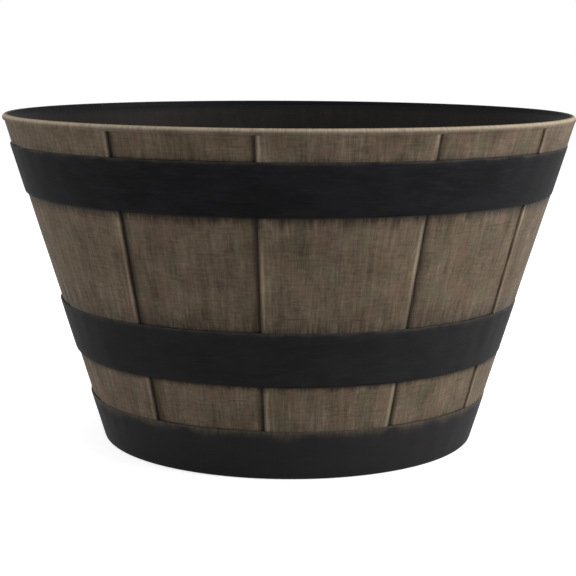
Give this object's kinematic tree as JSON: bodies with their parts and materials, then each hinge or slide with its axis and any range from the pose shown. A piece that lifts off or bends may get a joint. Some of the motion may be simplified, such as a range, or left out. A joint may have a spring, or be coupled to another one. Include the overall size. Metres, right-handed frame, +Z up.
{
  "type": "whiskey barrel planter",
  "caption": "Open tapered planter moulded like half a barrel, with proud and recessed boards, a rolled lip, black hoops and lift-out drain plugs.",
  "frame": {"origin": "middle of the base, on the surface that the planter stands on", "axes": "+Z up along the planter's axis, -Y towards the front, +X to the right seen from the front"},
  "size_m": [0.5204, 0.5204, 0.3],
  "materials": {
    "stained_resin": "grey-brown stain brushed over moulded wood grain, black inside",
    "black_resin": "satin black, finely pitted",
    "plug_rubber": "matt"
  },
  "bodies": {
    "planter": {"planter_shell": "stained_resin", "upper_hoop": "black_resin", "middle_hoop": "black_resin", "base_hoop": "black_resin"},
    "drain_plug_centre": {"drain_plug_centre": "plug_rubber"},
    "drain_plug_front_right": {"drain_plug_front_right": "plug_rubber"},
    "drain_plug_back_right": {"drain_plug_back_right": "plug_rubber"},
    "drain_plug_back_left": {"drain_plug_back_left": "plug_rubber"},
    "drain_plug_front_left": {"drain_plug_front_left": "plug_rubber"}
  },
  "joints": [
    {"name": "drain_plug_centre_lift", "type": "slide", "parent": "planter", "child": "drain_plug_centre", "axis": [0, 0, 1], "range_m": [0, 0.32]},
    {"name": "drain_plug_front_right_lift", "type": "slide", "parent": "planter", "child": "drain_plug_front_right", "axis": [0, 0, 1], "range_m": [0, 0.32]},
    {"name": "drain_plug_back_right_lift", "type": "slide", "parent": "planter", "child": "drain_plug_back_right", "axis": [0, 0, 1], "range_m": [0, 0.32]},
    {"name": "drain_plug_back_left_lift", "type": "slide", "parent": "planter", "child": "drain_plug_back_left", "axis": [0, 0, 1], "range_m": [0, 0.32]},
    {"name": "drain_plug_front_left_lift", "type": "slide", "parent": "planter", "child": "drain_plug_front_left", "axis": [0, 0, 1], "range_m": [0, 0.32]}
  ]
}
